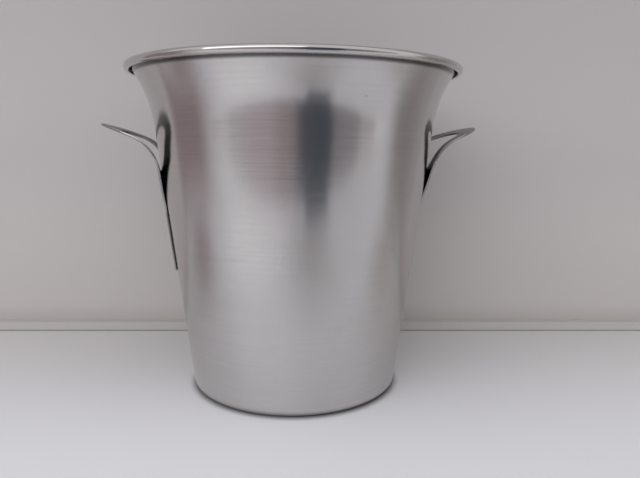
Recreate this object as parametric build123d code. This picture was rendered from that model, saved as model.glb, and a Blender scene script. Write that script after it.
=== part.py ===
from build123d import *
from math import cos, radians, sin, tan
import os

# Champagne bucket: a spun shell of brushed sheet steel with a rolled rim, and two sheet steel
# handles spot-welded to its wall. The origin is the centre of the base, on the table. +Z is up
# and the handles stand on the X axis. Sizes are in millimetres, leans in degrees from upright.

# Shell
HEIGHT = 200.0
RIM_RADIUS = 102.5          # outside of the rolled rim
SHEET = 0.8                 # thickness of the shell
WALL_FOOT_RADIUS = 65.4     # where the outside of the wall would meet the table
WALL_LEAN = 7.13            # the wall is a cone up to the flared mouth
CORNER_RADIUS = 5.0         # outside radius between wall and base
MOUTH_LEAN = 35.0           # lean of the flared mouth where the rolled rim begins
RIM_ROLL_RADIUS = 2.2       # outside radius of the roll
RIM_ROLL_TURN = 250.0       # degrees that the sheet is rolled through
STANDING_RING = 9.0         # width of the flat ring that the bucket stands on
BASE_RISE = 1.5             # the middle of the base is raised by this much
BASE_RISE_SLOPE = 4.0       # width of the slope between the standing ring and the middle

# Handles, the same on both sides
HANDLE_SHEET = 1.2
STEM_HALF_WIDTH = 10.0
STEM_END = 75.7             # height of the square lower end
STEM_GAP = 0.05             # between stem and wall, bridged only by the welds
BEND_START = 138.5          # height at which the stem leaves the wall
BEND_RADIUS = 25.0          # main bend, inner face
BEND_LEAN = 66.0            # lean at the end of the main bend
GRIP_RADIUS = 215.0         # slight curve of the grip, inner face
BLANK_LEAN = 74.0           # the blank runs on to this lean, past the tip that is cut from it
DISH_AXIS = -140.0          # the sheet curves round an upright axis at this X, behind the wall
WIDEST_LEAN = 30.0          # lean at the ring's widest place
TIP_REACH = 117.0           # from the bucket's axis to the tip
RING_HALF_WIDTH = 33.0
SHOULDER_FOOT = 116.0       # height at which the shoulders begin to spread
SHOULDER_LEAN = 39.0        # of the shoulders' edges, seen from the front
SHOULDER_FILLET = 12.0      # between stem and shoulder
GRIP_WIDTH = 10.0           # from the tip to the opening
OPENING_HALF_WIDTH = 22.0
OPENING_FOOT = 137.3        # height of the opening's lower end

# Spot welds, one above another on each stem
WELD_RADIUS = 2.5
WELD_DISH = 0.15            # how far the weld lies below the stem's outer face
WELD_HEIGHTS = (86.0, 104.0, 122.0)

SIDES = {"left": 180.0, "right": 0.0}   # turn of each handle about the bucket's axis


def wall_radius(height):
    """Outside radius of the conical wall at a height."""
    return WALL_FOOT_RADIUS + height * tan(radians(WALL_LEAN))


def sheet_section(path, thickness):
    """Section of a bent sheet in the XZ plane: the path is its right-hand face."""
    outline = Wire(path).offset_2d(thickness, side=Side.LEFT, closed=True)
    return Plane.XZ * make_face(outline)


def flare():
    """Outside radius of the mouth's flare, and the height at which it leaves the wall.

    The flare is tangent to the wall and to the rolled rim, and reaches MOUTH_LEAN at the rim.
    """
    wall_lean = radians(WALL_LEAN)
    mouth_lean = radians(MOUTH_LEAN)
    roll_radius = RIM_ROLL_RADIUS - SHEET
    roll_reach = RIM_RADIUS - RIM_ROLL_RADIUS
    roll_height = HEIGHT - RIM_ROLL_RADIUS
    roll_to_wall = (roll_reach - wall_radius(roll_height)) * cos(wall_lean)
    closeness = cos(mouth_lean - wall_lean)
    radius = (roll_to_wall - roll_radius * closeness) / (1 - closeness)
    centre_height = roll_height - (radius - roll_radius) * sin(mouth_lean)
    return radius, centre_height + radius * sin(wall_lean)


def bucket_body():
    """The shell, revolved from one section: base, corner, wall, flared mouth and rolled rim."""
    ring_outer = WALL_FOOT_RADIUS - CORNER_RADIUS * tan(radians(45 - WALL_LEAN / 2))
    ring_inner = ring_outer - STANDING_RING
    flare_radius, flare_start = flare()
    base = Polyline(
        (0, BASE_RISE),
        (ring_inner - BASE_RISE_SLOPE, BASE_RISE),
        (ring_inner, 0),
        (ring_outer, 0),
    )
    corner = JernArc(base @ 1, (1, 0), CORNER_RADIUS, 90 - WALL_LEAN)
    wall = Line(corner @ 1, (wall_radius(flare_start), flare_start))
    mouth = JernArc(wall @ 1, wall % 1, flare_radius, WALL_LEAN - MOUTH_LEAN)
    roll = JernArc(mouth @ 1, mouth % 1, RIM_ROLL_RADIUS - SHEET, -RIM_ROLL_TURN)
    return revolve(sheet_section([*base.edges(), corner, wall, mouth, roll], SHEET), Axis.Z)


def bent_blank():
    """The handle's sheet before its outline is cut: up the wall, then bent out to the grip.

    It is slightly dished, as part of a body of revolution, and so follows the round wall.
    """
    lean = radians(WALL_LEAN)
    clear = (STEM_GAP + HANDLE_SHEET) / cos(lean)
    stem = Line(
        (wall_radius(STEM_END) + clear, STEM_END),
        (wall_radius(BEND_START) + clear, BEND_START),
    )
    bend = JernArc(stem @ 1, stem % 1, BEND_RADIUS - HANDLE_SHEET, WALL_LEAN - BEND_LEAN)
    grip = JernArc(bend @ 1, bend % 1, GRIP_RADIUS - HANDLE_SHEET, BEND_LEAN - BLANK_LEAN)
    section = sheet_section([stem, bend, grip], HANDLE_SHEET)
    return revolve(section, Axis((DISH_AXIS, 0, 0), (0, 0, 1)))


def widest_place():
    """Reach and height of the middle of the handle's sheet where the ring is widest."""
    radius = BEND_RADIUS - HANDLE_SHEET / 2
    start = radians(WALL_LEAN)
    end = radians(WIDEST_LEAN)
    stem_reach = wall_radius(BEND_START) + (STEM_GAP + HANDLE_SHEET / 2) / cos(start)
    reach = stem_reach + radius * (cos(start) - cos(end))
    return reach, BEND_START + radius * (sin(end) - sin(start))


def front_cutter():
    """Stem, shoulders and the inner half of the ring with its opening, cut along X."""
    widest_reach, widest_height = widest_place()
    spread = RING_HALF_WIDTH - STEM_HALF_WIDTH
    shoulder_top = SHOULDER_FOOT + spread / tan(radians(SHOULDER_LEAN))
    ring_fillet = (widest_height - shoulder_top) / tan(radians(SHOULDER_LEAN / 2))
    half = [
        (STEM_HALF_WIDTH, 0),
        (STEM_HALF_WIDTH, SHOULDER_FOOT),
        (RING_HALF_WIDTH, shoulder_top),
        (RING_HALF_WIDTH, HEIGHT),
    ]
    outside = make_face(Polyline(*half, *[(-y, z) for y, z in reversed(half)], close=True))
    for height, radius in ((SHOULDER_FOOT, SHOULDER_FILLET), (shoulder_top, ring_fillet)):
        outside = fillet([v for v in outside.vertices() if abs(v.Y - height) < 0.01], radius)
    rounded_foot = Ellipse(OPENING_HALF_WIDTH, widest_height - OPENING_FOOT)
    rest = Rectangle(2 * OPENING_HALF_WIDTH, HEIGHT, align=(Align.CENTER, Align.MIN))
    opening = Pos(0, widest_height) * (rounded_foot + rest)
    return extrude(Plane.YZ * (outside - opening), widest_reach)


def plan_cutter():
    """The outer half of the ring with its opening, cut along Z: two half ellipses."""
    widest_reach, _ = widest_place()
    half_outside = Ellipse(TIP_REACH - widest_reach, RING_HALF_WIDTH)
    half_opening = Ellipse(TIP_REACH - GRIP_WIDTH - widest_reach, OPENING_HALF_WIDTH)
    outer_half = Rectangle(TIP_REACH, RING_HALF_WIDTH * 2, align=(Align.MIN, Align.CENTER))
    ring = (half_outside - half_opening) & outer_half
    return extrude(Pos(widest_reach, 0) * ring, HEIGHT)


def weld(height, bottom, top):
    """A round bar square to the wall, at a height, between two distances from the wall."""
    square_to_wall = Plane(
        origin=(wall_radius(height), 0, height),
        x_dir=(0, 1, 0),
        z_dir=(cos(radians(WALL_LEAN)), 0, -sin(radians(WALL_LEAN))),
    )
    bar = Cylinder(WELD_RADIUS, top - bottom, align=(Align.CENTER, Align.CENTER, Align.MIN))
    return square_to_wall * Pos(0, 0, bottom) * bar


def handle():
    """One handle, cut from its bent blank: the part of it that each of the two views leaves."""
    cut = bent_blank() & (front_cutter() + plan_cutter())
    for height in WELD_HEIGHTS:
        cut -= weld(height, -SHEET, 2 * HANDLE_SHEET)
    return cut


def handle_welds(shell):
    """The weld metal of one handle: it fills the stem's holes and lies on the shell."""
    top = STEM_GAP + HANDLE_SHEET - WELD_DISH
    return [weld(height, -SHEET / 2, top) - shell for height in WELD_HEIGHTS]


def main():
    os.makedirs("parts", exist_ok=True)
    shell = bucket_body()
    export_step(shell, "parts/bucket_body.step")
    for side, turn in SIDES.items():
        export_step(Rot(Z=turn) * handle(), f"parts/{side}_handle.step")
        export_step(Rot(Z=turn) * Compound(handle_welds(shell)), f"parts/{side}_handle_welds.step")


main()
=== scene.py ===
import math

import bmesh
import bpy
import numpy as np
from mathutils import Matrix, Vector


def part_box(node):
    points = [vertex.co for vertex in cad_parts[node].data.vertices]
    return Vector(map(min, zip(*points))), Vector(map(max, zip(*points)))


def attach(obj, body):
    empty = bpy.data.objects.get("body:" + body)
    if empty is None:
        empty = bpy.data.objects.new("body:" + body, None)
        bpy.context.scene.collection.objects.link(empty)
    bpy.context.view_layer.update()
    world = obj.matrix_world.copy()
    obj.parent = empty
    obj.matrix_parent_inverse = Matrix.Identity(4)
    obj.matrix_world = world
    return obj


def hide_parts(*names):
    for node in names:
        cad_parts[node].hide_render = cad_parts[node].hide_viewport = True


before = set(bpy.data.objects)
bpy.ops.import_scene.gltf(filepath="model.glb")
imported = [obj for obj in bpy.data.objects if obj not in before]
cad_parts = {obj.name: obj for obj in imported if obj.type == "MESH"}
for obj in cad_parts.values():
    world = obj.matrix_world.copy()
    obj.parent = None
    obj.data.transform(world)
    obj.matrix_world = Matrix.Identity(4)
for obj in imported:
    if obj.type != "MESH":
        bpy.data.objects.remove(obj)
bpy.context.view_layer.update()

# A brushed steel champagne bucket: a spun shell with a rolled rim and two sheet handles that are
# spot-welded to its wall. Everything is in metres in the CAD frame: the origin is the centre of
# the base, +Z is up and the handles stand on the X axis.

# Measured from the frame
RIM_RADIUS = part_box("bucket_body")[1].x
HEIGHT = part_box("bucket_body")[1].z
TIP_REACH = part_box("right_handle")[1].x
RING_HALF_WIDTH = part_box("right_handle")[1].y
STEM_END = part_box("right_handle")[0].z

MM = 0.001

# The shell
SHEET = 0.8 * MM
WALL_LEAN = math.radians(7.13)      # from upright
WALL_FOOT_RADIUS = 65.4 * MM        # outside, with the wall carried down to the table
CORNER_RADIUS = 5 * MM              # outside, between base and wall
MOUTH_LEAN = math.radians(35)       # of the flare where the rim's roll begins
RIM_ROLL_RADIUS = 2.2 * MM          # outside
RIM_ROLL_TURN = math.radians(250)
STANDING_RING = 9 * MM              # width of the flat ring that the bucket stands on
BASE_RISE = 1.5 * MM                # of the base's middle above that ring
BASE_RISE_SLOPE = 4 * MM            # width of the slope between them

# The handles
HANDLE_SHEET = 1.2 * MM
STEM_HALF_WIDTH = 10 * MM
STEM_GAP = 0.05 * MM                # between stem and wall
BEND_START = 138.5 * MM             # height at which the sheet leaves the wall
BEND_RADIUS = 25 * MM               # inner face, as is the next radius
BEND_LEAN = math.radians(66)        # from upright, at the bend's end
GRIP_RADIUS = 215 * MM
BLANK_LEAN = math.radians(74)       # at the blank's end
DISH_AXIS = -140 * MM               # reach of the upright axis that the sheet is dished about
WIDEST_LEAN = math.radians(30)      # of the sheet where the ring is widest
SHOULDER_FOOT = 116 * MM            # height at which the stem starts to widen
SHOULDER_LEAN = math.radians(39)    # of the shoulders' edges, seen from the front
SHOULDER_FILLET = 12 * MM           # between stem and shoulder
GRIP_WIDTH = 10 * MM                # from the tip to the opening
OPENING_HALF_WIDTH = 22 * MM
OPENING_FOOT = 137.3 * MM           # height of the opening's lower end
EDGE_RADIUS = 0.25 * MM             # of the cut edges, where they are rubbed
STEM_CORNER = 0.8 * MM              # radius of the stem's lower corners
NEAR = EDGE_RADIUS / 10             # closer than this, two corners of an outline are one
FLUSH = EDGE_RADIUS / 50            # closer than this, a point lies in a face

# The spot welds
WELD_RADIUS = 2.5 * MM
WELD_DISH = 0.15 * MM               # how far the weld sits below the handle's face
WELD_HEIGHTS = (86 * MM, 104 * MM, 122 * MM)

# What making leaves on the shell, and the painted shade under its rim
WAVE_DEPTH = 0.05 * MM              # of the longest wave in the spun wall
WAVE_TOP = 0.94                     # share of the height at which the waves have died away
# Painted shade: the band under the rolled rim is darkened in the shell's colour, between these
# depths.
PAINTED_SHADE_DEPTHS = (6.3 * MM, 4.6 * MM)   # below the top, where the dark under the rim starts and
                                        # where it is full

# How finely the round pieces are divided
SHELL_SIDES = 256
HOLE_SIDES = 48


# ---------------------------------------------------------------- paths and meshes

def walk(start, heading, *legs):
    """Points along a path of straight and curved legs, each tangent to the one before.

    A leg is (length, turn, steps): turn is the angle in radians through which the heading
    changes, positive to the left, and steps is how many points the leg gets.
    """
    points = [np.array(start, float)]
    for length, turn, steps in legs:
        step = length / steps
        for _ in range(steps):
            middle = heading + turn / steps / 2
            chord = step if turn == 0 else step * math.sin(turn / steps / 2) / (turn / steps / 2)
            points.append(points[-1] + chord * np.array([math.cos(middle), math.sin(middle)]))
            heading += turn / steps
    return np.array(points)


def normals_2d(points):
    """Unit normals to the left of a path."""
    ahead = np.gradient(points, axis=0)
    ahead /= np.linalg.norm(ahead, axis=1)[:, None]
    return np.stack([-ahead[:, 1], ahead[:, 0]], axis=1)


def distances(path):
    """How far along a path each of its points lies."""
    return np.concatenate([[0], np.cumsum(np.linalg.norm(np.diff(path, axis=0), axis=1))])


def wall_radius(height):
    """Outside radius of the conical wall at a height."""
    return WALL_FOOT_RADIUS + height * math.tan(WALL_LEAN)


def flare():
    """Outside radius of the mouth's flare, and the height at which it leaves the wall."""
    roll_radius = RIM_ROLL_RADIUS - SHEET
    roll_height = HEIGHT - RIM_ROLL_RADIUS
    roll_to_wall = (RIM_RADIUS - RIM_ROLL_RADIUS - wall_radius(roll_height)) * math.cos(WALL_LEAN)
    closeness = math.cos(MOUTH_LEAN - WALL_LEAN)
    radius = (roll_to_wall - roll_radius * closeness) / (1 - closeness)
    centre_height = roll_height - (radius - roll_radius) * math.sin(MOUTH_LEAN)
    return radius, centre_height + radius * math.sin(WALL_LEAN)


def shell_section():
    """Section of the shell as (radius, height) points, and how many lie on its outside.

    It runs out from the axis on the outside, round the roll's end and back on the inside.
    """
    ring_outer = WALL_FOOT_RADIUS - CORNER_RADIUS * math.tan(math.pi / 4 - WALL_LEAN / 2)
    slope_end = ring_outer - STANDING_RING
    flare_radius, flare_start = flare()
    rise = np.linspace(0, 1, 13)
    slope = np.stack(
        [
            slope_end - BASE_RISE_SLOPE * (1 - rise),
            SHEET / 2 + BASE_RISE * (1 - rise * rise * (3 - 2 * rise)),
        ],
        axis=1,
    )
    flat_radii = np.linspace(0, slope[0, 0], 16, endpoint=False)
    flat = np.stack([flat_radii, np.full(16, slope[0, 1])], axis=1)
    corner_turn = math.pi / 2 - WALL_LEAN
    corner_end = CORNER_RADIUS * (1 - math.sin(WALL_LEAN))
    wall_length = (flare_start - corner_end) / math.cos(WALL_LEAN)
    mouth_turn = MOUTH_LEAN - WALL_LEAN
    upward = walk(
        slope[-1],
        0,
        (STANDING_RING, 0, 6),
        ((CORNER_RADIUS - SHEET / 2) * corner_turn, corner_turn, 12),
        (wall_length, 0, 80),
        ((flare_radius + SHEET / 2) * mouth_turn, -mouth_turn, 26),
        ((RIM_ROLL_RADIUS - SHEET / 2) * RIM_ROLL_TURN, -RIM_ROLL_TURN, 48),
    )
    middle = np.concatenate([flat, slope[:-1], upward])
    inward = normals_2d(middle)
    outside = middle - inward * SHEET / 2
    inside = middle + inward * SHEET / 2
    end_turns = np.linspace(0, math.pi, 9)[1:-1]
    along = np.array([inward[-1][1], -inward[-1][0]])
    end = [
        middle[-1] + SHEET / 2 * (along * math.sin(turn) - inward[-1] * math.cos(turn))
        for turn in end_turns
    ]
    return np.concatenate([outside, end, inside[::-1]]), len(outside)


def new_piece(name, mesh, node):
    """An object for a finished mesh that stands for a CAD node."""
    piece = bpy.data.objects.new(name, mesh)
    bpy.context.scene.collection.objects.link(piece)
    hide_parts(node)
    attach(piece, "root")
    return piece


def revolved_mesh(name, section, around):
    """A mesh of revolution about Z from a section that starts and ends on the axis."""
    inner = section[1:-1]
    count = len(inner)
    turns = np.linspace(0, 2 * math.pi, around, endpoint=False)
    rings = [
        np.stack([inner[:, 0] * math.cos(t), inner[:, 0] * math.sin(t), inner[:, 1]], axis=1)
        for t in turns
    ]
    first = around * count
    vertices = np.concatenate([*rings, [[0, 0, section[0][1]]], [[0, 0, section[-1][1]]]])
    faces = []
    for ring in range(around):
        here = ring * count
        there = (ring + 1) % around * count
        faces.append((first, there, here))
        faces += [(here + k, there + k, there + k + 1, here + k + 1) for k in range(count - 1)]
        faces.append((here + count - 1, there + count - 1, first + 1))
    mesh = bpy.data.meshes.new(name)
    mesh.from_pydata(vertices.tolist(), [], faces)
    mesh.shade_smooth()
    return mesh


def waviness(turn, height):
    """How far hand spinning leaves the wall in or out of true, at an angle and a height.

    It dies away at the foot, at the rim and beside the handles' stems.
    """
    climb = height / HEIGHT
    wave = (
        math.sin(2 * turn + 1.3 + 2.0 * climb)
        + 0.6 * math.sin(5 * turn + 0.4 - 5.0 * climb)
        + 0.45 * math.sin(9 * turn + 2.1 + 9.0 * climb)
        + 0.25 * math.sin(3 * turn + 17.0 * climb)
    )
    ends = max(0.0, math.sin(math.pi * min(climb / WAVE_TOP, 1.0))) ** 0.5
    return WAVE_DEPTH * wave * ends * math.sin(turn) ** 2


def painted_shade_share(section, outside_count):
    """How much painted shade each point of the shell's section gets, by how far it is tucked in
    under the rolled rim, 0 to 1.
    """
    low, high = [HEIGHT - depth for depth in PAINTED_SHADE_DEPTHS]
    shares = np.zeros(len(section))
    climb = np.clip((section[:outside_count, 1] - low) / (high - low), 0, 1)
    shares[:outside_count] = np.maximum.accumulate(climb * climb * (3 - 2 * climb))
    return shares


def build_shell():
    """The spun shell, a little out of true, with the part under its rim marked for painted shade.
    """
    section, outside_count = shell_section()
    mesh = revolved_mesh("bucket_shell", section, SHELL_SIDES)
    base_reach = WALL_FOOT_RADIUS * 0.9
    base_top = BASE_RISE + SHEET
    for vertex in mesh.vertices:
        x, y, z = vertex.co
        radius = math.hypot(x, y)
        if radius > base_reach and z > base_top:
            grown = 1 + waviness(math.atan2(y, x), z) / radius
            vertex.co = (x * grown, y * grown, z)
    shares = painted_shade_share(section, outside_count)[1:-1]
    painted_shade = mesh.attributes.new("painted_shade", "FLOAT", "POINT")
    painted_shade.data.foreach_set("value", [*np.tile(shares, SHELL_SIDES), 0, 0])
    return new_piece("bucket_shell", mesh, "bucket_body")


# ---------------------------------------------------------------- handles

def handle_path():
    """Middle of the handle's sheet as (reach, height) points, up the wall and out to the tip."""
    lean = math.pi / 2 - WALL_LEAN
    clear = (STEM_GAP + HANDLE_SHEET / 2) / math.cos(WALL_LEAN)
    start = (wall_radius(STEM_END) + clear, STEM_END)
    stem_length = (BEND_START - STEM_END) / math.cos(WALL_LEAN)
    bend_turn = BEND_LEAN - WALL_LEAN
    grip_turn = BLANK_LEAN - BEND_LEAN
    return walk(
        start,
        lean,
        (stem_length, 0, 30),
        ((BEND_RADIUS - HANDLE_SHEET / 2) * bend_turn, -bend_turn, 60),
        ((GRIP_RADIUS - HANDLE_SHEET / 2) * grip_turn, -grip_turn, 30),
    )


def rounded(corners, fillets, steps=10):
    """A chain of points with some of its corners rounded: fillets maps a place to a radius."""
    points = []
    for place, corner in enumerate(corners):
        corner = np.array(corner)
        if place not in fillets:
            points.append(corner)
            continue
        back = np.array(corners[place - 1]) - corner
        ahead = np.array(corners[place + 1]) - corner
        back /= np.linalg.norm(back)
        ahead /= np.linalg.norm(ahead)
        half = math.acos(np.clip(back @ ahead, -1, 1)) / 2
        radius = fillets[place]
        centre = corner + (back + ahead) / np.linalg.norm(back + ahead) * radius / math.sin(half)
        first = corner + back * radius / math.tan(half) - centre
        last = corner + ahead * radius / math.tan(half) - centre
        sweep = math.pi - 2 * half
        for step in np.linspace(0, 1, steps):
            blend = math.sin((1 - step) * sweep) * first + math.sin(step * sweep) * last
            points.append(centre + blend / math.sin(sweep))
    return np.array(points)


def widest_place():
    """Reach and height of the sheet's middle where the ring is widest."""
    radius = BEND_RADIUS - HANDLE_SHEET / 2
    clear = (STEM_GAP + HANDLE_SHEET / 2) / math.cos(WALL_LEAN)
    reach = wall_radius(BEND_START) + clear
    return (
        reach + radius * (math.cos(WALL_LEAN) - math.cos(WIDEST_LEAN)),
        BEND_START + radius * (math.sin(WIDEST_LEAN) - math.sin(WALL_LEAN)),
    )


def half_outline(front, widest, reach, path):
    """Half of an outline of the handle, unrolled: (distance along the sheet, half width).

    front holds the lower part as (half width, height) points seen from the front. The rest is
    half an ellipse in plan, from the ring's widest place out to a reach.
    """
    widest_reach = widest_place()[0]
    along = distances(path)
    heights = np.interp(front[:, 1], path[:, 1], along)
    lower = np.stack([heights, front[:, 0]], axis=1)
    turns = np.linspace(0, math.pi / 2, 40)
    across = widest * np.cos(turns)
    out = widest_reach + (reach - widest_reach) * np.sin(turns)
    on_path = np.hypot(out - DISH_AXIS, across) + DISH_AXIS
    upper = np.stack([np.interp(on_path, path[:, 0], along), across], axis=1)
    return np.concatenate([lower, upper])


def both_sides(half):
    """A closed outline from its half, mirrored about the handle's middle line."""
    mirrored = half[::-1] * [1, -1]
    at_tip = int(half[-1, 1] < NEAR)
    at_foot = int(half[0, 1] < NEAR)
    closed = np.concatenate([half, mirrored[at_tip:len(mirrored) - at_foot]])
    steps = np.linalg.norm(closed - np.roll(closed, 1, axis=0), axis=1)
    return closed[steps > NEAR]


def handle_outlines(path):
    """Outlines of the blank and its holes, unrolled flat."""
    widest_height = widest_place()[1]
    shoulder_top = SHOULDER_FOOT + (RING_HALF_WIDTH - STEM_HALF_WIDTH) / math.tan(SHOULDER_LEAN)
    ring_fillet = (widest_height - shoulder_top) / math.tan(SHOULDER_LEAN / 2)
    outside = rounded(
        [
            (0, STEM_END),
            (STEM_HALF_WIDTH, STEM_END),
            (STEM_HALF_WIDTH, SHOULDER_FOOT),
            (RING_HALF_WIDTH, shoulder_top),
            (RING_HALF_WIDTH, HEIGHT),
        ],
        {1: STEM_CORNER, 2: SHOULDER_FILLET, 3: ring_fillet},
    )[1:-1]
    drop = widest_height - OPENING_FOOT
    turns = np.linspace(0, math.pi / 2, 30, endpoint=False)
    opening = np.stack(
        [OPENING_HALF_WIDTH * np.sin(turns), widest_height - drop * np.cos(turns)], axis=1
    )
    outlines = [
        both_sides(half_outline(outside, RING_HALF_WIDTH, TIP_REACH, path)),
        both_sides(half_outline(opening, OPENING_HALF_WIDTH, TIP_REACH - GRIP_WIDTH, path)),
    ]
    turns = np.linspace(0, 2 * math.pi, HOLE_SIDES, endpoint=False)
    for height in WELD_HEIGHTS:
        centre = (height - STEM_END) / math.cos(WALL_LEAN)
        circle = [centre + WELD_RADIUS * np.cos(turns), WELD_RADIUS * np.sin(turns)]
        outlines.append(np.stack(circle, axis=1))
    return outlines


def inset(outline, distance):
    """A closed outline moved by a distance to its left."""
    back = outline - np.roll(outline, 1, axis=0)
    ahead = np.roll(outline, -1, axis=0) - outline
    back /= np.linalg.norm(back, axis=1)[:, None]
    ahead /= np.linalg.norm(ahead, axis=1)[:, None]
    left = np.stack([-(back + ahead)[:, 1], (back + ahead)[:, 0]], axis=1)
    return outline + left * distance / (1 + (back * ahead).sum(axis=1))[:, None]


def anticlockwise(outline):
    """The outline, turned round if it runs clockwise."""
    x, y = outline.T
    area = np.sum(x * np.roll(y, -1) - y * np.roll(x, -1))
    return outline if area > 0 else outline[::-1]


def flat_plate(outlines):
    """A flat plate with rounded edges, lying in the XY plane, from its outline and its holes."""
    plate = bmesh.new()
    faces = {1: [], -1: []}
    turns = np.linspace(-math.pi / 2, math.pi / 2, 9)
    for place, outline in enumerate(outlines):
        inward = 1 if place == 0 else -1
        rings = []
        for turn in turns:
            sunk = inset(anticlockwise(outline), inward * EDGE_RADIUS * (1 - math.cos(turn)))
            height = (HANDLE_SHEET / 2 - EDGE_RADIUS) * np.sign(turn) + EDGE_RADIUS * math.sin(turn)
            rings.append([plate.verts.new((x, y, height)) for x, y in sunk])
        for low, high in zip(rings, rings[1:]):
            for k in range(len(low)):
                plate.faces.new((low[k - 1], low[k], high[k], high[k - 1])[::inward])
        for side, ring in ((1, rings[-1]), (-1, rings[0])):
            faces[side] += [plate.edges.get((ring[k - 1], ring[k])) for k in range(len(ring))]
    for side, edges in faces.items():
        bmesh.ops.triangle_fill(plate, use_beauty=True, edges=edges, normal=(0, 0, side))
    return plate


def bend_plate(plate, path):
    """Cuts a flat plate across at each step of the path, for bending.

    Returns its corners' places when bent, the sheet's normals there and the flat places. The
    plate's x runs along the path, and its y stays level while the sheet is dished.
    """
    along = distances(path)
    for distance in along[1:]:
        geometry = plate.verts[:] + plate.edges[:] + plate.faces[:]
        bmesh.ops.bisect_plane(
            plate, geom=geometry, plane_co=(distance, 0, 0), plane_no=(1, 0, 0), dist=FLUSH
        )
    bmesh.ops.recalc_face_normals(plate, faces=plate.faces)
    flat = np.array([v.co for v in plate.verts])
    side = normals_2d(path)
    middle = [np.interp(flat[:, 0], along, path[:, k]) for k in (0, 1)]
    inner = np.stack([np.interp(flat[:, 0], along, side[:, k]) for k in (0, 1)], axis=1)
    inner /= np.linalg.norm(inner, axis=1)[:, None]
    reach = middle[0] + inner[:, 0] * flat[:, 2]
    height = middle[1] + inner[:, 1] * flat[:, 2]
    swing = np.arcsin(flat[:, 1] / (reach - DISH_AXIS))
    dished = (reach - DISH_AXIS) * np.cos(swing) + DISH_AXIS
    normals = [inner[:, 0] * np.cos(swing), inner[:, 0] * np.sin(swing), inner[:, 1]]
    bent = [dished, flat[:, 1], height]
    return np.stack(bent, axis=1), np.stack(normals, axis=1), flat


def build_handle(side, turn):
    """One handle: its blank is cut flat, with rounded edges, and then bent.

    Its edges are marked as rubbed, and its face towards the wall for painted shade, less so
    towards the tip.
    """
    path = handle_path()
    plate = flat_plate(handle_outlines(path))
    bent, inner, flat = bend_plate(plate, path)
    mesh = bpy.data.meshes.new(side + "_handle_plate")
    plate.to_mesh(mesh)
    plate.free()
    rotation = Matrix.Rotation(turn, 4, "Z")
    for vertex, co in zip(mesh.vertices, bent):
        vertex.co = rotation @ Vector(co)
    mesh.shade_smooth()
    mesh.update()
    face_height = HANDLE_SHEET / 2 - FLUSH
    rubbed = mesh.attributes.new("rubbed", "FLOAT", "POINT")
    painted_shade = mesh.attributes.new("painted_shade", "FLOAT", "POINT")
    normals = [v.normal.copy() for v in mesh.vertices]
    for k, height in enumerate(flat[:, 2]):
        on_face = abs(height) >= face_height
        rubbed.data[k].value = float(not on_face)
        # Painted shade on the face towards the wall, less towards the tip.
        if height >= face_height:
            towards_tip = (bent[k, 0] - RIM_RADIUS) / (TIP_REACH - RIM_RADIUS)
            painted_shade.data[k].value = 1 - min(max(towards_tip, 0.0), 1.0)
        if on_face:
            towards = math.copysign(1, height)
            normals[k] = rotation.to_3x3() @ Vector(inner[k] * towards)
    mesh.normals_split_custom_set_from_vertices(normals)
    return new_piece(side + "_handle_plate", mesh, side + "_handle")


def build_welds(side, turn):
    """The three spot welds of one handle, in one mesh."""
    top = STEM_GAP + HANDLE_SHEET - WELD_DISH
    rim_height = EDGE_RADIUS / 2
    section = [
        (0, STEM_GAP),
        (WELD_RADIUS, STEM_GAP),
        (WELD_RADIUS, top),
        (WELD_RADIUS * 0.96, top + rim_height * 0.7),
        (WELD_RADIUS * 0.85, top + rim_height),
        (WELD_RADIUS * 0.7, top + rim_height * 0.5),
        (WELD_RADIUS * 0.5, top),
        (WELD_RADIUS * 0.25, top - rim_height * 0.2),
        (0, top - rim_height * 0.25),
    ]
    spot = revolved_mesh("weld_spot", np.array(section), HOLE_SIDES)
    joined = bmesh.new()
    for height in WELD_HEIGHTS:
        one = spot.copy()
        square_to_wall = (
            Matrix.Rotation(turn, 4, "Z")
            @ Matrix.Translation((wall_radius(height), 0, height))
            @ Matrix.Rotation(math.pi / 2 + WALL_LEAN, 4, "Y")
        )
        one.transform(square_to_wall)
        joined.from_mesh(one)
        bpy.data.meshes.remove(one)
    mesh = bpy.data.meshes.new(side + "_handle_weld_spots")
    joined.to_mesh(mesh)
    joined.free()
    mesh.shade_smooth()
    return new_piece(side + "_handle_weld_spots", mesh, side + "_handle_welds")


# ---------------------------------------------------------------- materials

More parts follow.
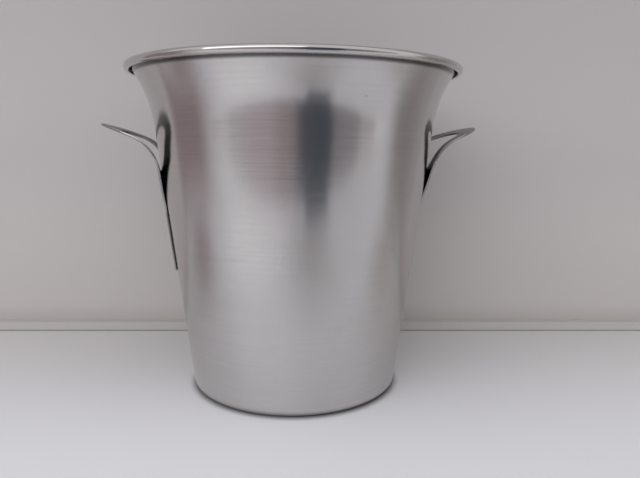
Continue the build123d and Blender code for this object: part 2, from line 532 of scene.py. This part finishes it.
class Shader:
    """A short way to write a material's nodes."""

    def __init__(self, name):
        self.material = bpy.data.materials.new(name)
        self.material.use_nodes = True
        self.tree = self.material.node_tree
        self.tree.nodes.clear()

    def node(self, kind, inputs=(), **settings):
        """A node with its settings and inputs, which are values or other nodes' outputs."""
        made = self.tree.nodes.new(kind)
        for key, value in settings.items():
            setattr(made, key, value)
        for key, value in dict(inputs).items():
            socket = made.inputs[key]
            if isinstance(value, bpy.types.NodeSocket):
                self.tree.links.new(value, socket)
            else:
                socket.default_value = value
        return made

    def math(self, operation, *values):
        """The result of one Math node."""
        return self.node("ShaderNodeMath", dict(enumerate(values)), operation=operation).outputs[0]

    def sum(self, *values):
        """All the values added up."""
        total = values[0]
        for value in values[1:]:
            total = self.math("ADD", total, value)
        return total

    def step(self, value, low, high, first=0.0, last=1.0):
        """Goes smoothly from first to last as value goes from low to high."""
        ends = {"From Min": low, "From Max": high, "To Min": first, "To Max": last}
        inputs = {"Value": value, **ends}
        return self.node("ShaderNodeMapRange", inputs, interpolation_type="SMOOTHSTEP").outputs[0]

    def blend(self, share, first, second):
        """A colour between two colours."""
        made = self.node("ShaderNodeMix", {"Factor": share}, data_type="RGBA")
        for socket, colour in ((made.inputs[6], first), (made.inputs[7], second)):
            if isinstance(colour, bpy.types.NodeSocket):
                self.tree.links.new(colour, socket)
            else:
                socket.default_value = (*colour, 1)
        return made.outputs[2]

    def ramp(self, value, stops):
        """A colour that passes smoothly through stops of (value, colour), values 0 to 1."""
        made = self.node("ShaderNodeValToRGB", {"Fac": value})
        made.color_ramp.interpolation = "EASE"
        elements = made.color_ramp.elements
        elements.remove(elements[1])
        while len(elements) < len(stops):
            elements.new(1.0)
        for element, (place, colour) in zip(elements, stops):
            element.position = place
            element.color = (*colour, 1)
        return made.outputs[0]

    def noise(self, place, scale, detail=2.0):
        """Noise about 0. scale is how fine it is along x, y and z, per metre."""
        stretched = self.node("ShaderNodeMapping", {"Vector": place, "Scale": scale}).outputs[0]
        inputs = {"Vector": stretched, "Scale": 1.0, "Detail": detail}
        made = self.node("ShaderNodeTexNoise", inputs).outputs[0]
        return self.math("SUBTRACT", made, 0.5)

    def scratches(self, place, turn, scale, rarity):
        """1 along a few hair lines, 0 elsewhere. A higher rarity leaves fewer of them."""
        turned = self.node("ShaderNodeMapping", {"Vector": place, "Rotation": turn}).outputs[0]
        return self.step(self.noise(turned, scale, 1.0), rarity, rarity + 0.04)

    def finish(self, surface):
        """The material, with its surface joined up."""
        self.node("ShaderNodeOutputMaterial", {"Surface": surface})
        return self.material


def brushed_place(s):
    """Object coordinates, the same with a z that grows outward too, and the height.

    With the second, grain runs in rings on the base and the flare as well as on the wall.
    """
    place = s.node("ShaderNodeTexCoord").outputs["Object"]
    x, y, z = s.node("ShaderNodeSeparateXYZ", {"Vector": place}).outputs
    radius = s.math("SQRT", s.sum(s.math("MULTIPLY", x, x), s.math("MULTIPLY", y, y)))
    along = s.math("MULTIPLY_ADD", radius, 1.3, z)
    rings = s.node("ShaderNodeCombineXYZ", {"X": x, "Y": y, "Z": along}).outputs[0]
    return place, rings, z


def pits(s, place, spacing, share):
    """1 in small round pits, at a share of the points of a scattered grid."""
    inputs = {"Vector": place, "Scale": 1 / spacing}
    cells = s.node("ShaderNodeTexVoronoi", inputs)
    chosen = s.node("ShaderNodeSeparateColor", {"Color": cells.outputs["Color"]}).outputs[0]
    round_spot = s.step(cells.outputs["Distance"], 0.03, 0.06, 1.0, 0.0)
    return s.math("MULTIPLY", round_spot, s.step(chosen, 1 - share, 1 - share + 0.01))


def weld_tint(s, place):
    """1 near the spot welds, where their heat has straw-coloured the wall, and 0 elsewhere."""
    _, y, z = s.node("ShaderNodeSeparateXYZ", {"Vector": place}).outputs
    tints = []
    for weld_height in WELD_HEIGHTS:
        above = s.math("SUBTRACT", z, weld_height)
        offset = s.node("ShaderNodeCombineXYZ", {"Y": y, "Z": above}).outputs[0]
        distance = s.node("ShaderNodeVectorMath", {0: offset}, operation="LENGTH").outputs["Value"]
        tints.append(s.step(distance, WELD_RADIUS * 0.8, WELD_RADIUS * 2.0, 1.0, 0.0))
    return s.sum(*tints)


def shell_steel():
    """Satin stainless steel, brushed in rings, with a polished rim, hair lines, pits and stains.

    Under the rolled rim it is painted dark, as painted shade.
    """
    s = Shader("shell_steel")
    place, rings, z = brushed_place(s)
    fine = s.noise(rings, (60, 60, 3600), 3.0)
    coarse = s.noise(rings, (14, 14, 900), 2.0)
    stains = s.noise(place, (14, 14, 9), 3.0)
    drips = s.noise(place, (60, 60, 6), 2.0)
    hair = s.sum(
        s.scratches(place, (0.0, 0.5, 0.3), (45, 900, 900), 0.24),
        s.scratches(place, (0.2, -0.9, 0.1), (60, 1300, 1300), 0.25),
        s.scratches(place, (0.0, 0.06, 0.0), (35, 1700, 1700), 0.22),
    )
    spots = pits(s, place, 9 * MM, 0.09)
    polish = s.step(z, HEIGHT - 2.4 * RIM_ROLL_RADIUS, HEIGHT - 1.6 * RIM_ROLL_RADIUS)
    heat = weld_tint(s, place)
    satin = s.sum(
        0.165,
        s.math("MULTIPLY", fine, 0.08),
        s.math("MULTIPLY", coarse, 0.05),
        s.math("MULTIPLY", stains, 0.06),
        s.math("MULTIPLY", drips, 0.03),
        s.math("MULTIPLY", hair, 0.06),
    )
    polished = s.math("MULTIPLY_ADD", stains, 0.04, 0.09)
    roughness = s.node(
        "ShaderNodeMix", {"Factor": polish, "A": satin, "B": polished}, data_type="FLOAT"
    ).outputs[0]
    brushing = s.step(s.sum(fine, coarse), -0.3, 0.3)
    bright = s.blend(brushing, (0.545, 0.53, 0.525), (0.585, 0.572, 0.567))
    bright = s.blend(s.step(stains, -0.05, 0.25, 0.0, 0.5), bright, (0.53, 0.51, 0.5))
    bright = s.blend(s.math("MULTIPLY", heat, 0.25), bright, (0.5, 0.42, 0.33))
    bright = s.blend(s.math("MULTIPLY", spots, 0.8), bright, (0.16, 0.15, 0.15))
    # Painted shade under the rolled rim: the colour goes nearly black there.
    painted_shade = s.node("ShaderNodeAttribute", attribute_name="painted_shade").outputs["Fac"]
    colour = s.blend(painted_shade, bright, (0.075, 0.07, 0.07))
    grain = s.sum(
        fine,
        s.math("MULTIPLY", coarse, 0.8),
        s.math("MULTIPLY", hair, -0.6),
        s.math("MULTIPLY", spots, -1.5),
    )
    height = s.math("MULTIPLY", grain, s.step(polish, 0.0, 1.0, 1.0, 0.15))
    bump = s.node("ShaderNodeBump", {"Height": height, "Strength": 0.12, "Distance": 0.012 * MM})
    skin = s.node(
        "ShaderNodeBsdfPrincipled",
        {
            "Base Color": colour,
            "Metallic": 1.0,
            "Roughness": roughness,
            "Anisotropic": s.step(polish, 0.0, 1.0, 0.5, 0.1),
            "Anisotropic Rotation": 0.25,
            "Tangent": s.node("ShaderNodeTangent", direction_type="RADIAL", axis="Z").outputs[0],
            "Normal": bump.outputs[0],
        },
    )
    return s.finish(skin.outputs[0])


def handle_steel():
    """Sheet steel brushed along the handle, with dull smears and edges rubbed bright.

    The face towards the wall is painted dark, as painted shade.
    """
    s = Shader("handle_steel")
    place = s.node("ShaderNodeTexCoord").outputs["Object"]
    fine = s.noise(place, (40, 2600, 40), 3.0)
    smears = s.noise(place, (60, 60, 60), 3.0)
    hair = s.scratches(place, (0.4, 0.2, 0.9), (70, 1500, 1500), 0.23)
    spots = pits(s, place, 7 * MM, 0.1)
    rubbed = s.node("ShaderNodeAttribute", attribute_name="rubbed").outputs["Fac"]
    dull = s.sum(
        0.27,
        s.math("MULTIPLY", fine, 0.14),
        s.math("MULTIPLY", smears, 0.16),
        s.math("MULTIPLY", hair, 0.08),
    )
    bare = s.math("MULTIPLY_ADD", smears, 0.15, 0.24)
    roughness = s.node(
        "ShaderNodeMix", {"Factor": rubbed, "A": dull, "B": bare}, data_type="FLOAT"
    ).outputs[0]
    face = s.blend(s.step(fine, -0.3, 0.3), (0.32, 0.312, 0.31), (0.38, 0.372, 0.37))
    face = s.blend(s.step(smears, 0.0, 0.3, 0.0, 0.5), face, (0.27, 0.26, 0.255))
    face = s.blend(s.math("MULTIPLY", spots, 0.7), face, (0.15, 0.14, 0.14))
    # Painted shade on the face towards the wall, fading towards the tip.
    painted_shade = s.node("ShaderNodeAttribute", attribute_name="painted_shade").outputs["Fac"]
    face = s.blend(s.math("MULTIPLY", painted_shade, 0.9), face, (0.05, 0.048, 0.048))
    colour = s.blend(rubbed, face, (0.4, 0.39, 0.39))
    grain = s.sum(fine, s.math("MULTIPLY", hair, -0.6), s.math("MULTIPLY", spots, -1.5))
    bump = s.node("ShaderNodeBump", {"Height": grain, "Strength": 0.2, "Distance": 0.02 * MM})
    skin = s.node(
        "ShaderNodeBsdfPrincipled",
        {
            "Base Color": colour,
            "Metallic": 1.0,
            "Roughness": roughness,
            "Specular Tint": (0.75, 0.74, 0.74, 1),
            "Normal": bump.outputs[0],
        },
    )
    return s.finish(skin.outputs[0])


def weld_steel():
    """Weld metal: duller than the sheet, with fine ripples and a straw-coloured heat tint."""
    s = Shader("weld_steel")
    place = s.node("ShaderNodeTexCoord").outputs["Object"]
    ripples = s.noise(place, (900, 900, 900), 3.0)
    tint = s.noise(place, (260, 260, 260), 2.0)
    colour = s.blend(s.step(tint, -0.2, 0.2), (0.5, 0.47, 0.44), (0.44, 0.38, 0.32))
    roughness = s.math("MULTIPLY_ADD", ripples, 0.25, 0.38)
    bump = s.node("ShaderNodeBump", {"Height": ripples, "Strength": 0.4, "Distance": 0.05 * MM})
    skin = s.node(
        "ShaderNodeBsdfPrincipled",
        {"Base Color": colour, "Metallic": 1.0, "Roughness": roughness, "Normal": bump.outputs[0]},
    )
    return s.finish(skin.outputs[0])


def one_sided(s, surface):
    """The surface seen from its front, and nothing seen from its back."""
    back = s.node("ShaderNodeNewGeometry").outputs["Backfacing"]
    clear = s.node("ShaderNodeBsdfTransparent").outputs[0]
    return s.node("ShaderNodeMixShader", {0: back, 1: surface, 2: clear}).outputs[0]


def soft_card(s, light, softness):
    """Light given off by a card, fading out towards the card's edges."""
    place = s.node("ShaderNodeTexCoord").outputs["Object"]
    x, y, _ = s.node("ShaderNodeSeparateXYZ", {"Vector": place}).outputs
    sides = [s.step(s.math("ABSOLUTE", part), 1 - softness, 1.0, 1.0, 0.0) for part in (x, y)]
    glow = s.node("ShaderNodeEmission", {"Color": light}).outputs[0]
    clear = s.node("ShaderNodeBsdfTransparent").outputs[0]
    share = s.math("MULTIPLY", *sides)
    return s.finish(s.node("ShaderNodeMixShader", {0: share, 1: clear, 2: glow}).outputs[0])


def plain_glow(name, colour, softness):
    """A card's light of one colour."""
    s = Shader(name)
    return soft_card(s, (*colour, 1), softness)


def foot_shade(half_side):
    """The deep shade that gathers on the table round the bucket's foot."""
    s = Shader("foot_shade")
    place = s.node("ShaderNodeTexCoord").outputs["Object"]
    reach = s.node("ShaderNodeVectorMath", {0: place}, operation="LENGTH").outputs["Value"]
    near, far = FOOT_SHADE
    share = s.step(reach, near / half_side, far / half_side, 0.8, 0.0)
    clear = s.node("ShaderNodeBsdfTransparent").outputs[0]
    dark = s.node("ShaderNodeBsdfDiffuse", {"Color": (0.05, 0.045, 0.045, 1)}).outputs[0]
    return s.finish(s.node("ShaderNodeMixShader", {0: share, 1: clear, 2: dark}).outputs[0])


def room_glow():
    """The room in front of the table: dim, with a dark doorway a little right of the middle."""
    s = Shader("room_glow")
    place = s.node("ShaderNodeTexCoord").outputs["Object"]
    x = s.node("ShaderNodeSeparateXYZ", {"Vector": place}).outputs[0]
    colour = s.ramp(
        s.math("MULTIPLY_ADD", x, 0.5, 0.5),
        [
            (0.22, (0.63, 0.60, 0.61)),
            (0.26, (0.52, 0.49, 0.51)),
            (0.41, (0.46, 0.40, 0.43)),
            (0.48, (0.33, 0.28, 0.29)),
            (0.535, (0.085, 0.09, 0.11)),
            (0.615, (0.075, 0.085, 0.105)),
            (0.64, (0.25, 0.24, 0.26)),
            (0.74, (0.29, 0.275, 0.285)),
            (0.81, (0.47, 0.44, 0.45)),
        ],
    )
    return soft_card(s, colour, 0.1)


# ---------------------------------------------------------------- stage, light and camera

CAMERA_DISTANCE = 3.775 * RIM_RADIUS
CAMERA_HEIGHT = 1.503 * RIM_RADIUS
CAMERA_TURN = math.radians(-6.0)
CAMERA_PAN = math.radians(2.43)
CAMERA_TILT = math.radians(-8.95)
CAMERA_ROLL = math.radians(0.43)
SENSOR_WIDTH = 36
LENS = 33.75

# The stage is turned a little about Z: its x runs along the wall, and its y away from the viewer.
STAGE_TURN = Matrix.Rotation(math.radians(-7.03), 4, "Z")
STAGE_REACH = 3.0                       # half the stage's width
TABLE_FRONT = -0.42                     # y of the table's front edge
WALL_PLACE = 104 * MM                   # y of the wall
SKIRTING_PLACE = 96.7 * MM              # y of the skirting's face
SKIRTING_TOP = 7.8 * MM
SKIRTING_GAP = 1.2 * MM                 # between the table and the skirting
FOOT_SHADE = (61 * MM, 70 * MM)         # reaches at which the shade starts to fade, and is gone

SURROUND_LIGHT = (0.78, 0.77, 0.77)
LIGHT_PLACE = (-0.9, -1.8, 1.25)
LIGHT_SIZE = (2.6, 1.3)
LIGHT_POWER = 16
LIGHT_AIM = (0, 0, 0.1)


def panel(name, centre, x_side, y_side, material):
    """A flat rectangle on the stage, from its centre and its two half sides."""
    x_side, y_side = Vector(x_side), Vector(y_side)
    axes = Matrix((x_side, y_side, x_side.cross(y_side).normalized())).transposed().to_4x4()
    mesh = bpy.data.meshes.new(name)
    mesh.from_pydata([(-1, -1, 0), (1, -1, 0), (1, 1, 0), (-1, 1, 0)], [], [(0, 1, 2, 3)])
    mesh.materials.append(material)
    made = bpy.data.objects.new(name, mesh)
    made.matrix_world = STAGE_TURN @ Matrix.Translation(centre) @ axes
    bpy.context.scene.collection.objects.link(made)
    return made


def reflection_card(material, centre, x_side, y_side):
    """A card that only shows in the steel's reflections."""
    card = panel(material.name + "_card", centre, x_side, y_side, material)
    card.visible_camera = False
    card.visible_diffuse = False
    card.visible_shadow = False


def build_camera():
    """The viewpoint: close, below the rim, and panned a little to the right."""
    camera = bpy.data.objects.new("camera", bpy.data.cameras.new("camera"))
    camera.data.sensor_width = SENSOR_WIDTH
    camera.data.lens = LENS
    camera.data.clip_start = 0.01
    camera.matrix_world = (
        Matrix.Rotation(CAMERA_TURN, 4, "Z")
        @ Matrix.Translation((0, -CAMERA_DISTANCE, CAMERA_HEIGHT))
        @ Matrix.Rotation(-CAMERA_PAN, 4, "Z")
        @ Matrix.Rotation(math.pi / 2 + CAMERA_TILT, 4, "X")
        @ Matrix.Rotation(CAMERA_ROLL, 4, "Z")
    )
    bpy.context.scene.collection.objects.link(camera)
    bpy.context.scene.camera = camera
    bpy.context.scene.view_settings.view_transform = "Standard"


def shaded_paint(s, start, end, stops, roughness):
    """Matt paint whose colour runs through stops along a panel's second side.

    start and end are the stops' ends on that side, which runs from -1 to 1.
    """
    place = s.node("ShaderNodeTexCoord").outputs["Object"]
    along = s.node("ShaderNodeSeparateXYZ", {"Vector": place}).outputs["Y"]
    cloud = s.math("MULTIPLY", s.noise(place, (9, 9, 9), 3.0), 0.04)
    share = s.node("ShaderNodeMapRange", {"Value": along, "From Min": start, "From Max": end})
    base = s.ramp(s.sum(share.outputs[0], cloud), stops)
    skin = s.node("ShaderNodeBsdfPrincipled", {"Base Color": base, "Roughness": roughness})
    return skin.outputs[0]


def table_paint_and_light():
    """White paint, with painted light: brighter towards the viewer and darker towards the wall."""
    s = Shader("table_white")
    stops = [(0.0, (0.64, 0.63, 0.635)), (1.0, (0.89, 0.90, 0.95))]
    return s.finish(shaded_paint(s, 1.1, 0.1, stops, 0.45))


def wall_paint_and_shade():
    """Pale grey paint that is dimmer high up, with painted shade just above the skirting."""
    s = Shader("wall_grey")
    stops = [
        (0.0, (0.48, 0.455, 0.44)),
        (0.05, (0.53, 0.505, 0.495)),
        (0.2, (0.53, 0.50, 0.495)),
        (0.5, (0.48, 0.455, 0.46)),
        (1.0, (0.43, 0.41, 0.415)),
    ]
    return s.finish(one_sided(s, shaded_paint(s, -0.992, -0.7, stops, 0.8)))


def plain_paint(name, colour, roughness):
    """Matt paint of one colour."""
    s = Shader(name)
    skin = s.node("ShaderNodeBsdfPrincipled", {"Base Color": (*colour, 1), "Roughness": roughness})
    return s.finish(one_sided(s, skin.outputs[0]))


def build_table():
    """A pale table, a surround that isn't reflected, and the shade round the bucket's foot."""
    paint = table_paint_and_light()
    middle = (SKIRTING_PLACE + TABLE_FRONT) / 2
    depth = (SKIRTING_PLACE - TABLE_FRONT) / 2
    panel("table", (0, middle, 0), (STAGE_REACH, 0, 0), (0, depth, 0), paint)
    surround = panel("surround", (0, 0, -MM), (STAGE_REACH, 0, 0), (0, STAGE_REACH, 0), paint)
    surround.visible_glossy = False
    reach = FOOT_SHADE[1]
    shade = panel("foot_shade", (0, 0, 0.2 * MM), (reach, 0, 0), (0, reach, 0), foot_shade(reach))
    shade.visible_shadow = False
    shade.visible_glossy = False


def build_wall():
    """A pale wall, with a low skirting strip that stands off the table by a gap, painted dark as
    painted shade.
    """
    panel("backdrop", (0, WALL_PLACE, 1), (STAGE_REACH, 0, 0), (0, 0, 1), wall_paint_and_shade())
    paint = plain_paint("skirting_grey", (0.50, 0.48, 0.475), 0.6)
    half_height = (SKIRTING_TOP - SKIRTING_GAP) / 2
    middle = (0, SKIRTING_PLACE, SKIRTING_GAP + half_height)
    panel("skirting", middle, (STAGE_REACH, 0, 0), (0, 0, half_height), paint)
    half_depth = (WALL_PLACE - SKIRTING_PLACE) / 2
    middle = (0, WALL_PLACE - half_depth, SKIRTING_TOP)
    panel("ledge", middle, (STAGE_REACH, 0, 0), (0, half_depth, 0), paint)
    # Painted shade: a dark strip standing in the gap under the skirting.
    dark = plain_paint("gap_painted_shade", (0.30, 0.285, 0.28), 0.9)
    half_gap = SKIRTING_GAP / 2
    panel("gap", (0, SKIRTING_PLACE, half_gap), (STAGE_REACH, 0, 0), (0, 0, half_gap), dark)


def build_reflections():
    """What the steel reflects: the room past the table's front, and dim areas to both sides.

    Some of the cards stand, and the rest lie on the table: name, colour, softness, centre and
    half sides.
    """
    reflection_card(room_glow(), (0, TABLE_FRONT - 0.01, -0.05), (0.9, 0, 0), (0, 0, 0.4))
    lying = [
        ("light_pool", (0.88, 0.88, 0.9), 0.9, (-0.2, -0.27), (0.17, 0.14)),
        ("table_shade", (0.46, 0.445, 0.46), 1.0, (0.07, -0.29), (0.15, 0.17)),
        ("doorstep", (0.11, 0.12, 0.14), 0.4, (0.122, -0.385), (0.08, 0.04)),
        ("dusk", (0.34, 0.295, 0.305), 1.0, (-0.33, -0.04), (0.23, 0.13)),
        ("gloom", (0.46, 0.43, 0.425), 1.0, (0.30, -0.04), (0.22, 0.13)),
    ]
    for name, colour, softness, (x, y), (half_x, half_y) in lying:
        glow = plain_glow(name, colour, softness)
        reflection_card(glow, (x, y, MM), (half_x, 0, 0), (0, half_y, 0))
    plum = plain_glow("plum", (0.30, 0.235, 0.245), 0.6)
    reflection_card(plum, (-0.41, -0.06, 0.18), (0.16, -0.18, 0), (-0.08, -0.07, 0.18))
    grey = plain_glow("grey", (0.29, 0.27, 0.265), 0.9)
    reflection_card(grey, (0.36, -0.02, 0.14), (0.14, -0.16, 0), (0, 0, 0.2))


def build_light():
    """An even pale surround and one large soft light, high in front and to the left."""
    world = bpy.data.worlds.new("studio")
    bpy.context.scene.world = world
    world.use_nodes = True
    world.node_tree.nodes["Background"].inputs["Color"].default_value = (*SURROUND_LIGHT, 1)
    light = bpy.data.objects.new("soft_light", bpy.data.lights.new("soft_light", "AREA"))
    light.data.shape = "RECTANGLE"
    light.data.size, light.data.size_y = LIGHT_SIZE
    light.data.energy = LIGHT_POWER
    place = STAGE_TURN @ Vector(LIGHT_PLACE)
    towards = (Vector(LIGHT_AIM) - place).to_track_quat("-Z", "Y")
    light.matrix_world = Matrix.LocRotScale(place, towards, None)
    bpy.context.scene.collection.objects.link(light)


build_shell().data.materials.append(shell_steel())
handle_finish = handle_steel()
weld_finish = weld_steel()
for side, turn in (("left", math.pi), ("right", 0)):
    build_handle(side, turn).data.materials.append(handle_finish)
    build_welds(side, turn).data.materials.append(weld_finish)
build_table()
build_wall()
build_reflections()
build_light()
build_camera()
